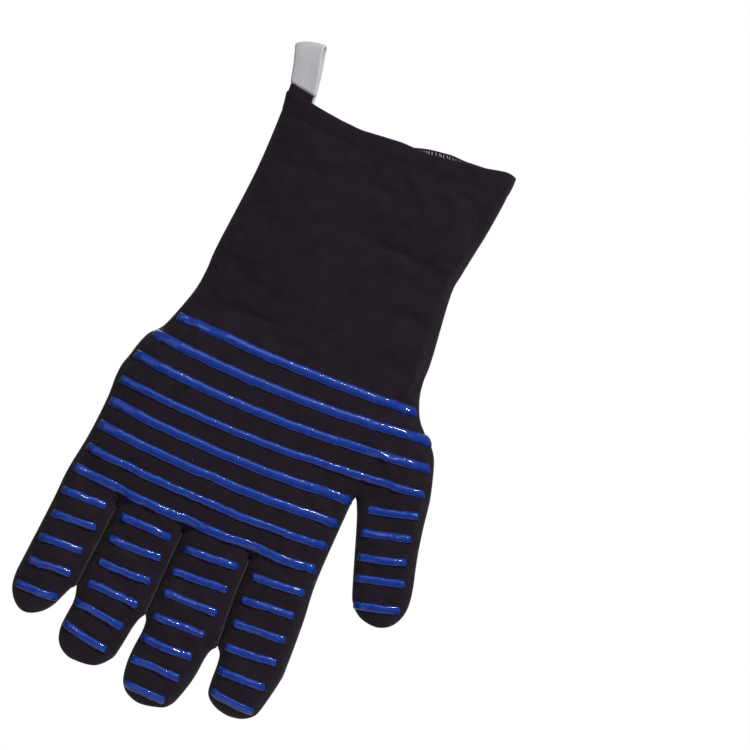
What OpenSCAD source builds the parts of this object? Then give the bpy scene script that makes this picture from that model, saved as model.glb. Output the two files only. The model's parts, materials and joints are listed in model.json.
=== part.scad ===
// Knitted grilling glove with silicone grip bars, a cotton lining and a hanging loop.
// Frame: the centre of the cuff mouth is the origin, +Z leaves the mouth, the fingers
// point along -Z, the palm faces -Y and the thumb is on +X.

/* [Sleeve] */
// Cuff length, from the mouth to the wrist crease
cuff_len = 121; // [100:1:140]
// Palm length, from the wrist crease to the finger roots
palm_len = 125.5; // [122:0.5:132]
// Front to back thickness at the mouth
mouth_t = 38; // [36:0.5:46]
// Front to back thickness at the wrist
wrist_t = 32; // [30:0.5:36]
// Front to back thickness at the finger roots
root_t = 24; // [22:0.5:26]

/* [Fabric] */
// Wall of the knitted shell
knit_t = 1.4; // [1:0.1:1.6]
// Wall of the cotton lining
lining_t = 1.2; // [0.8:0.1:1.4]
// Turned-up depth of the hem at the mouth
hem_depth = 9; // [6:0.5:14]

/* [Grip bars] */
// Width of a silicone bar
bar_w = 5.2; // [3:0.1:6]
// Height of a silicone bar above the knit
bar_h = 1.2; // [0.6:0.1:1.6]

/* [Hanging loop] */
// Width of the tape at its tab
tape_w = 15.5; // [12:0.5:16]
// Height of the loop above its tab, at mid width
loop_len = 24; // [20:1:50]
// Thickness of the tape
tape_t = 1.2; // [0.8:0.1:1.6]

/* [Movement] */
// Wrist bend, each way
wrist_deg = 40; // [10:1:40]
// Clearance on each side of a bending line
bend_gap = 0.35; // [0.3:0.05:0.6]

/* [Hidden] */

knit_c = "#231c24";
bar_c = "#1c3ea0";
cotton_c = "#e4ded0";
tape_c = "#aeafb3";
thread_c = "#2b2630";

squareness = 2.4;          // superellipse power of every cross-section
nest_gap = 0.3;            // lining to shell
bar_gap = 0.3;             // bar to knit
lift = knit_t + nest_gap;  // lining's outer face below the shell's outer face

// Bend planes: slope of the relief on each side of a bending line, in degrees
wrist_relief = wrist_deg / 2 + 0.8;
root_relief = [26.5, 6];   // palm side, back side: 50 and 10 degrees of travel
mid_relief = [36.5, 8.5];  // palm side, back side: 70 and 15 degrees of travel
curl_relief = [29, 6];     // thumb: 55 and 10 degrees of travel
spread_relief = [18.5, 3.5]; // outer side, crotch side: 35 and 5 degrees of travel
root_pivot_y = -8;         // depth of the finger bending lines
thumb_pivot_x = 10;        // the thumb swings about a line this far out from its centre

// Cuff outline: distance below the mouth as a share of cuff_len, left, right, half thickness
hm = mouth_t / 2;
hw = wrist_t / 2;
hr = root_t / 2;
CUFF = [
    [0, -67, 67.5, hm],
    [0.074, -66, 67.5, hm],
    [0.372, -67.5, 62, hm - 1],
    [0.579, -70.5, 58.7, (hm + hw) / 2],
    [0.760, -72, 61, hw + 1],
    [1, -74.5, 63, hw]
];
// Palm outline above the thumb crotch: distance below the wrist in millimetres
WIDE = [
    [0, -74.5, 63, hw],
    [14, -77.5, 66, hw],
    [26, -84, 74.5, hw],
    [35, -91.5, 82, hw],
    [50, -96.5, 89, hw - 0.5],
    [69.7, -98, 92.4, hw - 1]
];
// Palm outline below the crotch, down to the finger roots
NARROW = [
    [69.7, -98, 51, hw - 1],
    [96, -98.7, 50, (hw + hr) / 2],
    [palm_len, -102.3, 48.8, hr]
];

// Digits: root x, root z, lean, length, tip radius, bend point, [below root, left, right],
// bar lines [below root, left, right]
wrist_z = -cuff_len;
root_z = wrist_z - palm_len;
LITTLE = [-86.4, root_z, 7.4, 75.5, 14, 40,
    [[0, -16.3, 15.9], [40, -15.1, 17], [61.5, -14.2, 14.3]],
    [[5, -13.7, 11.6], [19, -13, 12.5], [34, -12.6, 12], [47.5, -12, 12.3], [62, -11.6, 11.6]]];
RING = [-50.8, root_z, 2.7, 91, 15.5, 54.5,
    [[0, -18.7, 19.4], [27, -20, 19.5], [54.5, -20.1, 18.9], [75.5, -19.3, 15.5]],
    [[6.5, -14.6, 15.2], [19.5, -15, 15.6], [33.5, -14.6, 15], [47.5, -15, 14],
     [61.5, -16, 12.7], [75.5, -16, 10.6]]];
MIDDLE = [-11.3, root_z, 2.1, 99.7, 16.5, 56.5,
    [[0, -18.9, 20.3], [28, -19.2, 21.3], [56.5, -17.6, 22], [83.2, -17.4, 17.5]],
    [[8, -14.2, 16.6], [22.5, -14.5, 16], [36.5, -14, 16], [50, -14.3, 15.2],
     [63.5, -14.6, 13.6], [77.5, -14.9, 12.2], [91.5, -12, 9.5]]];
INDEX = [30, root_z, -0.4, 87.3, 15.5, 43.5,
    [[0, -19.7, 18.8], [22, -20, 20.6], [43.5, -19.4, 21], [71.8, -15.2, 17.5]],
    [[8.5, -15, 14.5], [22.5, -16, 14.4], [36.5, -15.2, 14.2], [50.5, -14.6, 14],
     [65, -13.4, 14], [78.5, -11.5, 12]]];
THUMB = [70.7, wrist_z - 67, -14, 70.5, 15, 39.4,
    [[0, -16.8, 20.4], [22, -16.7, 19.2], [39.4, -15.4, 19], [55.5, -14.6, 18.4]],
    [[6.6, -12.5, 15], [19.5, -13, 14.5], [33.2, -13.4, 14.4], [45.5, -13, 14.4],
     [60.3, -12.2, 14.5]]];

// Palm bars: below the wrist at mid width, left end, right end, rise of the left and right ends
PALM_BARS = [
    [19, -75, 62.5, 2, 2], [34, -83, 72, 4, 5.5], [49, -91, 81, 3.5, 6],
    [63.5, -93, 85, 3, 5.5], [78, -93.5, 46.5, 4, 2], [92, -94.5, 45.5, 3, 1.5],
    [106, -96, 44.5, 4, 2], [119, -97.5, 43.5, 3, 1]
];

// ---- points and rings -------------------------------------------------------------

function flat(list) = [for (a = list) each a];
function power(v, p) = sign(v) * pow(abs(v), p);
function mix(a, b, t) = a + (b - a) * t;

// Value of column k at distance s in a table of rows [s, ...]
function at(rows, s, k) = lookup(s, [for (r = rows) [r[0], r[k]]]);

// Cross-section outline as [x, y], at angle t from the right-hand side
function outline(left, right, half, off, t) = let (p = 2 / squareness)
    [(left + right) / 2 + ((right - left) / 2 - off) * power(cos(t), p),
     (half - off) * power(sin(t), p)];

// Half thickness of the surface at x, on a section of n straight facets
function surface_y(left, right, half, n, x, off = 0) =
    lookup(x, [for (i = [n / 2:-1:0]) outline(left, right, half, off, 360 * i / n)]);

// Relief of a bend plane: distance from the bending line at height y
function relief(y, pivot, slopes) =
    bend_gap + abs(y - pivot) * tan(y < pivot ? slopes[0] : slopes[1]);

// Closed solid between an outer and an inner stack of rings of n points. Rings join
// top to bottom; the last ring of a stack is capped when capped is true.
function skin_faces(rows, n, base, out) = [
    for (r = [0:rows - 2], i = [0:n - 1])
        let (a = base + r * n + i, b = base + r * n + (i + 1) % n)
        each (out ? [[a, b, b + n], [a, b + n, a + n]] : [[a, b + n, b], [a, a + n, b + n]])
];
function rim_faces(n, outer, inner, down) = [
    for (i = [0:n - 1])
        let (j = (i + 1) % n, a = outer + i, b = outer + j, c = inner + j, d = inner + i)
        each (down ? [[a, b, c], [a, c, d]] : [[a, c, b], [a, d, c]])
];
module tube(outer, inner, capped = false) {
    n = len(outer[0]);
    ro = len(outer);
    ri = len(inner);
    base = ro * n;
    last_out = (ro - 1) * n;
    last_in = base + (ri - 1) * n;
    polyhedron(
        points = concat(flat(outer), flat(inner)),
        faces = concat(
            skin_faces(ro, n, 0, true), skin_faces(ri, n, base, false),
            rim_faces(n, 0, base, false),
            capped
                ? [[for (i = [0:n - 1]) last_out + i], [for (i = [n - 1:-1:0]) last_in + i]]
                : rim_faces(n, last_out, last_in, true)),
        convexity = 8);
}

// Solid ring whose cross-section is a closed loop of points, one loop per station
module hoop(loops) {
    m = len(loops[0]);
    k = len(loops);
    polyhedron(
        points = flat(loops),
        faces = [
            for (s = [0:k - 1], j = [0:m - 1])
                let (a = s * m + j, b = s * m + (j + 1) % m,
                     c = ((s + 1) % k) * m + (j + 1) % m, d = ((s + 1) % k) * m + j)
                each [[a, c, b], [a, d, c]]
        ],
        convexity = 8);
}

// Bar of flat-topped section along a row of frames [centre, across, out, fullness]
module bar(frames) {
    m = 4;
    k = len(frames);
    polyhedron(
        points = flat([
            for (f = frames)
                let (w = bar_w / 2 * f[3], h = bar_h * f[3], foot = f[0] + f[2] * bar_gap,
                     top = f[0] + f[2] * (bar_gap + h))
                [foot - f[1] * w, foot + f[1] * w, top + f[1] * w * 0.6, top - f[1] * w * 0.6]
        ]),
        faces = concat(
            [for (s = [0:k - 2], j = [0:m - 1])
                let (a = s * m + j, b = s * m + (j + 1) % m)
                each [[a, b + m, b], [a, a + m, b + m]]],
            [[0, 1, 2, 3]], [[for (j = [m - 1:-1:0]) (k - 1) * m + j]]));
}

// ---- cuff ---------------------------------------------------------------------------

CUFF_N = 32;
function cuff_at(s, k) = at(CUFF, s, k);
function cuff_point(s, off, t) =
    let (p = outline(cuff_at(s, 1), cuff_at(s, 2), cuff_at(s, 3), off, t))
    [p[0], p[1], -s * cuff_len];
function cuff_ring(s, off, cut = false) = [
    for (i = [0:CUFF_N - 1])
        let (p = cuff_point(s, off, 360 * i / CUFF_N))
        [p[0], p[1], p[2] + (cut ? relief(p[1], 0, [wrist_relief, wrist_relief]) : 0)]
];
module cuff_tube(from_off, to_off, rows) {
    last = rows[len(rows) - 1];
    outer = [for (s = rows) cuff_ring(s, from_off, s == last)];
    inner = [for (s = rows) cuff_ring(s, to_off, s == last)];
    tube(outer, inner);
}

module cuff_shell() {
    color(knit_c) cuff_tube(0, knit_t, [for (r = CUFF) r[0]]);
}

module cuff_lining() {
    color(cotton_c)
        cuff_tube(lift, lift + lining_t,
                  [0.47 * hem_depth / cuff_len, each [for (i = [1:len(CUFF) - 1]) CUFF[i][0]]]);
}

// Hem: a band folded over the mouth, outside the shell and inside the lining
hem_t = 1.1;
hem_gap = 0.3;
module cuff_hem() {
    out0 = -hem_gap;
    out1 = out0 - hem_t;
    in0 = lift + lining_t + hem_gap;
    in1 = in0 + hem_t;
    share = hem_depth / cuff_len;
    inner_share = 0.6 * share;
    color(knit_c) hoop([
        for (i = [0:CUFF_N - 1])
            let (t = 360 * i / CUFF_N, up = [0, 0, hem_gap + hem_t], low = [0, 0, hem_gap])
            [cuff_point(share, out1, t), cuff_point(share, out0, t),
             cuff_point(0, out0, t) + low, cuff_point(0, in0, t) + low,
             cuff_point(inner_share, in0, t), cuff_point(inner_share, in1, t),
             cuff_point(0, in1 - 0.4, t) + up, cuff_point(0, out1 + 0.4, t) + up]
    ]);
}

// Stitches: short dashes across the front and back of the cuff, clear of the loop's tab
module cuff_dashes(s, off, pitch, size) {
    left = cuff_at(s, 1);
    right = cuff_at(s, 2);
    half = cuff_at(s, 3);
    function height(x) = surface_y(left, right, half, CUFF_N, x, off);
    for (x = [left + 12:pitch:right - 10], side = [-1, 1])
        if (x > tab_at[0] + tab_w / 2 + 4 || side > 0)
            translate([x, side * height(x), -s * cuff_len])
                rotate([0, 0, side * atan((height(x + 1) - height(x - 1)) / 2)])
                    cube(size, center = true);
}

module hem_stitching() {
    color(thread_c)
        cuff_dashes((hem_depth - 2) / cuff_len, -hem_gap - hem_t - 0.75, 4.4, [3, 0.6, 0.8]);
}

// Overlock: thread bars along the inner edge of the hem
module hem_overlock() {
    off = lift + lining_t + hem_gap + hem_t + 0.8;
    color(cotton_c) cuff_dashes(0.022, off, 3.8, [2.2, 0.6, 3]);
}

// Tab: a folded pad of knit sewn through the hem at the front left, holding the tape
tab_at = [-61, -9.5, 7];  // middle of the tape's bending line
tab_w = 16.4;
tab_t = 3.4;
tab_h = 9.5;
tab_turn = -23;           // the tab follows the curve of the cuff's corner
loop_lean = 9;            // slope of the bending line
bead_r = 1.5;
module at_tab() {
    translate(tab_at) rotate([0, 0, tab_turn]) rotate([0, loop_lean, 0]) children();
}

module loop_tab() {
    slant = tan(loop_lean);
    top = 1.6;
    color(knit_c)
        at_tab()
            difference() {
                rotate([90, 0, 0])
                    linear_extrude(height = tab_t, center = true)
                        polygon([
                            [-tab_w / 2 + slant * top, -top], [-tab_w / 2 + slant * tab_h, -tab_h],
                            [tab_w / 2 + slant * tab_h, -tab_h], [tab_w / 2 + slant * top, -top]
                        ]);
                rotate([0, 90, 0]) cylinder(r = bead_r + 0.3, h = tab_w + 4, center = true, $fn = 48);
            }
}

// Outline of a tape bight: a large arc above a small one, joined by straight legs
function bight(big, small, rise) = let (a = asin((big - small) / rise)) concat(
    [for (t = [-a:(180 + 2 * a) / 16:180 + a + 0.01]) [big * cos(t), rise + big * sin(t)]],
    [for (t = [180 + a:(180 - 2 * a) / 8:360 - a + 0.01]) [small * cos(t), small * sin(t)]]
);
bight_r = 3.6;
// The tape hangs askew: its edges at height z, and how far its ends differ from loop_len
function tape_edge(side, z) = side * tape_w / 2 - (side < 0 ? 0.483 : 0.3) * z;
loop_skew = 4.5;
module hanging_loop() {
    function outer(side) = bight(bight_r, bead_r, loop_len + side * loop_skew - bight_r);
    function inner(side) = [
        for (p = bight(bight_r - tape_t, 0.4, loop_len + side * loop_skew - bight_r - 6))
            [p[0], p[1] + 6]
    ];
    function corners(side, line) = [for (p = line) [tape_edge(side, p[1]), p[0], p[1]]];
    rows = [corners(-1, outer(-1)), corners(1, outer(1)), corners(1, inner(1)),
            corners(-1, inner(-1))];
    color(tape_c)
        at_tab() hoop([for (i = [0:len(rows[0]) - 1]) [for (r = rows) r[i]]]);
}

// ---- hand ---------------------------------------------------------------------------

HAND_N = 36;
split_i = HAND_N / 6;     // ring index of the crotch: 60 degrees either side of +X

// Angle on a section below the crotch, where the points between the corners close up
function narrow_angle(t) = let (u = t > 180 ? t - 360 : t)
    abs(u) <= 60 ? u * 2 / 3 : sign(u) * (40 + (abs(u) - 60) * 7 / 6);

thumb_cos = cos(THUMB[2]);
thumb_tan = tan(-THUMB[2]);
// Height of the thumb opening's rim at x: the thumb's root plane less its relief
function opening_z(x) = let (s = (x - THUMB[0]) / thumb_cos, d = s - thumb_pivot_x)
    THUMB[1] + (x - THUMB[0]) * thumb_tan
        + (bend_gap + abs(d) * tan(d > 0 ? spread_relief[0] : spread_relief[1])) / thumb_cos;
corner_x = outline(WIDE[5][1], WIDE[5][2], WIDE[5][3], 0, 60)[0];
corner_z = opening_z(corner_x);

function wide_ring(k, off) = let (r = WIDE[k]) [
    for (i = [0:HAND_N - 1])
        let (p = outline(r[1], r[2], r[3], off, 360 * i / HAND_N),
             z = k == 0 ? wrist_z - relief(p[1], 0, [wrist_relief, wrist_relief])
               : k < 5 ? wrist_z - r[0]
               : p[0] > corner_x ? opening_z(p[0]) : corner_z)
        [p[0], p[1], z]
];
function narrow_ring(k, off) = let (r = NARROW[k]) [
    for (i = [0:HAND_N - 1])
        let (p = outline(r[1], r[2], r[3], off, narrow_angle(360 * i / HAND_N)),
             z = k == 2 ? root_z + relief(p[1], root_pivot_y, root_relief) : wrist_z - r[0])
        [p[0], p[1], z]
];
// The crotch's own ring: it shares the wide ring's points, and closes the side between them
function crotch_ring(off) = let (w = wide_ring(5, off), a = w[split_i]) [
    for (i = [0:HAND_N - 1])
        let (u = i > HAND_N / 2 ? i - HAND_N : i)
        abs(u) < split_i
            ? [a[0] - 0.05 * off * (split_i - abs(u)), a[1] * u / split_i, corner_z]
            : w[i]
];

// Hand tube: the wide rings, then the narrow ones, open at the wrist, thumb and fingers
module hand_tube(off0, off1) {
    n = HAND_N;
    wide = len(WIDE);
    layers = [for (off = [off0, off1]) each concat(
        [for (k = [0:wide - 1]) wide_ring(k, off)], [crotch_ring(off)],
        [for (k = [1:2]) narrow_ring(k, off)])];
    rows = len(layers) / 2;
    // Points either side of the crotch belong to both the last wide ring and the crotch ring
    function id(layer, r, i) = let (j = (i + n) % n, u = j > n / 2 ? j - n : j)
        (layer * rows + (r == wide && abs(u) >= split_i ? wide - 1 : r)) * n + j;
    function quad(a, b, c, d, turn) = turn ? [[a, b, c], [a, c, d]] : [[a, c, b], [a, d, c]];
    skins = [for (layer = [0, 1], r = [0:rows - 2], i = [0:n - 1]) if (r != wide - 1)
        each quad(id(layer, r, i), id(layer, r, i + 1), id(layer, r + 1, i + 1),
                  id(layer, r + 1, i), layer == 0)];
    wrist_rim = [for (i = [0:n - 1])
        each quad(id(0, 0, i), id(0, 0, i + 1), id(1, 0, i + 1), id(1, 0, i), false)];
    finger_rim = [for (i = [0:n - 1]) each quad(id(0, rows - 1, i), id(0, rows - 1, i + 1),
        id(1, rows - 1, i + 1), id(1, rows - 1, i), true)];
    thumb_rim = [for (i = [-split_i:split_i - 1]) each concat(
        quad(id(0, wide - 1, i), id(0, wide - 1, i + 1), id(1, wide - 1, i + 1),
             id(1, wide - 1, i), true),
        quad(id(0, wide, i), id(0, wide, i + 1), id(1, wide, i + 1), id(1, wide, i), false))];
    polyhedron(points = flat(layers),
        faces = concat(skins, wrist_rim, finger_rim, thumb_rim), convexity = 8);
}

module hand_shell() {
    color(knit_c) hand_tube(0, knit_t);
}

module hand_lining() {
    color(cotton_c) hand_tube(lift, lift + lining_t);
}

// The hand shell's outer rings, and the height of its facets at x and z on one side
HAND_ROWS = concat([for (k = [0:5]) wide_ring(k, 0)], [crotch_ring(0)],
                   [for (k = [1:2]) narrow_ring(k, 0)]);
function facet_y(a, b, c, x, z) =
    let (det = (b[0] - a[0]) * (c[2] - a[2]) - (c[0] - a[0]) * (b[2] - a[2]),
         u = ((x - a[0]) * (c[2] - a[2]) - (c[0] - a[0]) * (z - a[2])) / det,
         v = ((b[0] - a[0]) * (z - a[2]) - (x - a[0]) * (b[2] - a[2])) / det)
    u > -0.001 && v > -0.001 && u + v < 1.001 ? abs(a[1] + u * (b[1] - a[1]) + v * (c[1] - a[1])) : 0;
function hand_y(x, z, side) = max([
    for (r = [0:len(HAND_ROWS) - 2]) if (r != 5)
        for (j = [0:HAND_N / 2 - 1])
            let (i = side > 0 ? j : j + HAND_N / 2, n = (i + 1) % HAND_N, p = HAND_ROWS[r],
                 q = HAND_ROWS[r + 1])
            max(facet_y(p[i], p[n], q[n], x, z), facet_y(p[i], q[n], q[i], x, z))
]);
// Highest facet under a bar's width
function under_bar(x, z, side) =
    max([for (dx = [-4, 0, 4], dz = [-bar_w / 2, 0, bar_w / 2]) hand_y(x + dx, z + dz, side)]);

// Bars across the hand; side is -1 on the palm and 1 on the back
module hand_bars(side) {
    steps = 14;
    for (b = PALM_BARS)
        bar([
            for (i = [0:steps])
                let (u = 2 * i / steps - 1, mid = (b[1] + b[2]) / 2, reach = (b[2] - b[1]) / 2,
                     x = mid + u * reach,
                     z = wrist_z - b[0] + (u < 0 ? b[3] : b[4]) * u * u,
                     slope = (hand_y(x + 1, z, side) - hand_y(x - 1, z, side)) / 2,
                     out = [-slope, side, 0] / norm([slope, 1]),
                     climb = 2 * (u < 0 ? b[3] : b[4]) * u / reach)
                [[x, side * under_bar(x, z, side), z], [-side * climb, 0, side] / norm([climb, 1]), out,
                 i == 0 || i == steps ? 0.55 : 1]
        ]);
}

module hand_bars_palm() {
    color(bar_c) hand_bars(-1);
}

module hand_bars_back() {
    color(bar_c) hand_bars(1);
}

// ---- digits -------------------------------------------------------------------------

DIGIT_N = 20;
root_half = hr;           // half thickness at the root
mid_half = 11;            // at the middle bend
tip_half = 9.5;           // where the tip starts to round

function start_of_tip(d) = d[3] - d[4];
function digit_half(d, s) = lookup(s,
    [[0, root_half], [d[5], mid_half], [start_of_tip(d), tip_half]]);
function digit_row(d, s) = [s, at(d[6], s, 1), at(d[6], s, 2), digit_half(d, s)];
// Rounded end: the section at angle a round the tip
function tip_row(d, off, a) =
    let (r = digit_row(d, start_of_tip(d)), give = d[4] - (d[4] - off) * cos(a),
         q = pow(cos(a), 0.7))
    [start_of_tip(d) + (d[4] - off) * sin(a), r[1] + give, r[2] - give, (r[3] - off) * q];
function digit_ring(row, off, n) = [
    for (i = [0:n - 1])
        let (p = outline(row[1], row[2], row[3], off, 360 * i / n)) [p[0], p[1], -row[0]]
];
// Bend plane of a ring: dir is 1 for the side above the bending line and -1 for below
function cut_ring(ring, pivot, slopes, dir) = [
    for (p = ring) [p[0], p[1], p[2] + dir * relief(p[1], pivot, slopes)]
];
// The thumb's root ring is relieved across its width instead of its depth
function swing_ring(ring) = [
    for (p = ring) [p[0], p[1], p[2] - relief(-p[0], -thumb_pivot_x, spread_relief)]
];
// A finger's root ring stays level, so that every finger bends about a line along X
function root_ring(d, ring) = [
    for (p = ring)
        [p[0], p[1], p[2] + p[0] * tan(d[2]) - relief(p[1], root_pivot_y, root_relief)]
];
function is_thumb(d) = d[0] == THUMB[0];
function bend_slopes(d) = is_thumb(d) ? curl_relief : mid_relief;
function bend_pivot(d) = is_thumb(d) ? -7 : root_pivot_y;

module place(d) {
    translate([d[0], 0, d[1]]) rotate([0, d[2], 0]) children();
}

module base_tube(d, off0, off1, n) {
    function stack(off) =
        let (first = digit_ring(digit_row(d, 0), off, n),
             last = digit_ring(digit_row(d, d[5]), off, n))
        [is_thumb(d) ? swing_ring(first) : root_ring(d, first),
         digit_ring(digit_row(d, d[5] / 2), off, n),
         cut_ring(last, bend_pivot(d), bend_slopes(d), 1)];
    place(d) tube(stack(off0), stack(off1));
}

module tip_tube(d, off0, off1, n, turns) {
    function stack(off) =
        let (first = digit_ring(digit_row(d, d[5]), off, n))
        concat([cut_ring(first, bend_pivot(d), bend_slopes(d), -1)],
               [digit_ring(digit_row(d, start_of_tip(d)), off, n)],
               [for (a = turns) digit_ring(tip_row(d, off, a), 0, n)]);
    place(d) tube(stack(off0), stack(off1), true);
}

// Bars across a digit, front and back, on the part from s0 to s1 below the root
module digit_bars(d, s0, s1) {
    steps = 6;
    tip = start_of_tip(d);
    function row(s) = s <= tip ? digit_row(d, s)
        : tip_row(d, 0, asin(min(0.98, (s - tip) / d[4])));
    function height(x, s) = let (r = row(s)) surface_y(r[1], r[2], r[3], DIGIT_N, x);
    color(bar_c) place(d)
        for (b = d[7], side = [-1, 1]) if (b[0] > s0 && b[0] < s1)
            bar([
                for (i = [0:steps])
                    let (x = mix(b[1], b[2], i / steps), y = height(x, b[0]),
                         slope = (height(x + 1, b[0]) - height(x - 1, b[0])) / 2,
                         fall = (height(x, b[0] + 1) - height(x, b[0] - 1)) / 2,
                         out = [-slope, side, fall] / norm([slope, 1, fall]),
                         along = cross([1, side * slope, 0], out))
                    [[x, side * (y + 0.3), -b[0]], along / norm(along) * -1, out,
                     i == 0 || i == steps ? 0.6 : 1]
            ]);
}

TIP_TURNS = [25, 50, 70, 84];
module base_shell(d) { color(knit_c) base_tube(d, 0, knit_t, DIGIT_N); }
module tip_shell(d) { color(knit_c) tip_tube(d, 0, knit_t, DIGIT_N, TIP_TURNS); }
module base_lining(d) { color(cotton_c) base_tube(d, lift, lift + lining_t, DIGIT_N); }
module tip_lining(d) { color(cotton_c) tip_tube(d, lift, lift + lining_t, DIGIT_N, TIP_TURNS); }

module index_base_shell() { base_shell(INDEX); }
module index_base_lining() { base_lining(INDEX); }
module index_base_bars() { digit_bars(INDEX, 0, INDEX[5]); }
module index_tip_shell() { tip_shell(INDEX); }
module index_tip_lining() { tip_lining(INDEX); }
module index_tip_bars() { digit_bars(INDEX, INDEX[5], INDEX[3]); }
module middle_base_shell() { base_shell(MIDDLE); }
module middle_base_lining() { base_lining(MIDDLE); }
module middle_base_bars() { digit_bars(MIDDLE, 0, MIDDLE[5]); }
module middle_tip_shell() { tip_shell(MIDDLE); }
module middle_tip_lining() { tip_lining(MIDDLE); }
module middle_tip_bars() { digit_bars(MIDDLE, MIDDLE[5], MIDDLE[3]); }
module ring_base_shell() { base_shell(RING); }
module ring_base_lining() { base_lining(RING); }
module ring_base_bars() { digit_bars(RING, 0, RING[5]); }
module ring_tip_shell() { tip_shell(RING); }
module ring_tip_lining() { tip_lining(RING); }
module ring_tip_bars() { digit_bars(RING, RING[5], RING[3]); }
module little_base_shell() { base_shell(LITTLE); }
module little_base_lining() { base_lining(LITTLE); }
module little_base_bars() { digit_bars(LITTLE, 0, LITTLE[5]); }
module little_tip_shell() { tip_shell(LITTLE); }
module little_tip_lining() { tip_lining(LITTLE); }
module little_tip_bars() { digit_bars(LITTLE, LITTLE[5], LITTLE[3]); }
module thumb_base_shell() { base_shell(THUMB); }
module thumb_base_lining() { base_lining(THUMB); }
module thumb_base_bars() { digit_bars(THUMB, 0, THUMB[5]); }
module thumb_tip_shell() { tip_shell(THUMB); }
module thumb_tip_lining() { tip_lining(THUMB); }
module thumb_tip_bars() { digit_bars(THUMB, THUMB[5], THUMB[3]); }

cuff_shell();
cuff_lining();
cuff_hem();
hem_stitching();
hem_overlock();
loop_tab();
hanging_loop();
hand_shell();
hand_lining();
hand_bars_palm();
hand_bars_back();
index_base_shell();
index_base_lining();
index_base_bars();
index_tip_shell();
index_tip_lining();
index_tip_bars();
middle_base_shell();
middle_base_lining();
middle_base_bars();
middle_tip_shell();
middle_tip_lining();
middle_tip_bars();
ring_base_shell();
ring_base_lining();
ring_base_bars();
ring_tip_shell();
ring_tip_lining();
ring_tip_bars();
little_base_shell();
little_base_lining();
little_base_bars();
little_tip_shell();
little_tip_lining();
little_tip_bars();
thumb_base_shell();
thumb_base_lining();
thumb_base_bars();
thumb_tip_shell();
thumb_tip_lining();
thumb_tip_bars();
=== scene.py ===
"""A knitted grilling glove: black rib knit, blue silicone bars, cotton lining, hem and hanging loop."""

import json
import random
from math import copysign, cos, exp, pi, radians, sin

import bpy
import numpy as np
from mathutils import Matrix, Vector, noise
from mathutils.bvhtree import BVHTree
from mathutils.geometry import delaunay_2d_cdt

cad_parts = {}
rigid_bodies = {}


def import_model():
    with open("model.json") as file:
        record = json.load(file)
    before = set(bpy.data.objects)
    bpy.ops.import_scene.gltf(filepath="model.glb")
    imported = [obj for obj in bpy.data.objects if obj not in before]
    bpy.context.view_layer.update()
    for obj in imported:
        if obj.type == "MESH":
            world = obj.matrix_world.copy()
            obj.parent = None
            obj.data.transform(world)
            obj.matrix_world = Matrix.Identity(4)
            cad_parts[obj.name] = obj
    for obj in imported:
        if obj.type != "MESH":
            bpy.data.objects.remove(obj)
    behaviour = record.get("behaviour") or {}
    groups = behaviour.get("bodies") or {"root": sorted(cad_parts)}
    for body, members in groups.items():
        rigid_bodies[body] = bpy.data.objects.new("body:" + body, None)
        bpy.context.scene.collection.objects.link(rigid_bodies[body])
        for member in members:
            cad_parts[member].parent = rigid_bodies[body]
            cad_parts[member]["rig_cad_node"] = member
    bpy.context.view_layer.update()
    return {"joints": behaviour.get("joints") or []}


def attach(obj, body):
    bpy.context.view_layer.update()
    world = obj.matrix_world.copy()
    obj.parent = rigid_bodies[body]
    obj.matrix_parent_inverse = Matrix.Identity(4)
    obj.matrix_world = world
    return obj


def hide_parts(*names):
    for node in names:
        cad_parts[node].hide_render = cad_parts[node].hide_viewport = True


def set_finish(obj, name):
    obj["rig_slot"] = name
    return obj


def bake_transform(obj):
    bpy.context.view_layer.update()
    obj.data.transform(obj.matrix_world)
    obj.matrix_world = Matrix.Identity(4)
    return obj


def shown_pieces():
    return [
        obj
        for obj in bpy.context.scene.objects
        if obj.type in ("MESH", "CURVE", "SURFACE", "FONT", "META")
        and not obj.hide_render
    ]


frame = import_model()
MM = 0.001
RNG = random.Random(11)

# ---- landmarks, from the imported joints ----

JOINTS = {j["name"]: j for j in frame["joints"]}


def joint_mm(name):
    return np.array(JOINTS[name]["pos_m"], float) / MM


WRIST_Z = joint_mm("wrist_bend")[2]
ROOT_Z = joint_mm("index_knuckle")[2]


class Digit:
    """A digit's root, direction and bending points, in millimetres in the plane of the hand.

    split is how far along it the base piece meets the tip piece; zone is the stretch that bends at its root.
    """

    def __init__(self, name, root, bend, split, zone):
        self.name = name
        self.root = np.array(root, float)
        step = np.array(bend, float) - self.root
        self.bend_at = float(np.hypot(*step))
        self.dir = step / self.bend_at
        self.across = np.array((-self.dir[1], self.dir[0]))
        self.split = split
        self.zone = zone

    def along(self, p):
        return (np.asarray(p, float) - self.root) @ self.dir

    def side(self, p):
        return (np.asarray(p, float) - self.root) @ self.across

    def point(self, s, t=0.0):
        return self.root + s * self.dir + t * self.across


def finger(name, split):
    root = joint_mm(name + "_knuckle")
    bend = joint_mm(name + "_middle")
    return Digit(name, root[[0, 2]], bend[[0, 2]], split, (2.5, 22.0))


def make_thumb():
    axis = np.array(JOINTS["thumb_curl"]["axis"], float)
    direction = np.array((-axis[2], axis[0]))
    pivot = joint_mm("thumb_spread")[[0, 2]]
    bend = joint_mm("thumb_curl")[[0, 2]]
    root = bend - direction * float((bend - pivot) @ direction)
    return Digit("thumb", root, bend, 27.0, (2.5, 25.0))


FINGERS = [finger("little", 26.5), finger("ring", 40.5), finger("middle", 43.2), finger("index", 29.5)]
THUMB = make_thumb()
DIGITS = [*FINGERS, THUMB]
BEND_REACH = 10.5  # half length of the zone that bends at a middle joint
WRIST_REACH = 13.0  # and at the wrist
PALM_SPLIT = -147.0  # where the cuff's piece meets the palm's

# ---- outline of the flat glove, in millimetres: x to the thumb, z up to the mouth ----

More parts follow.
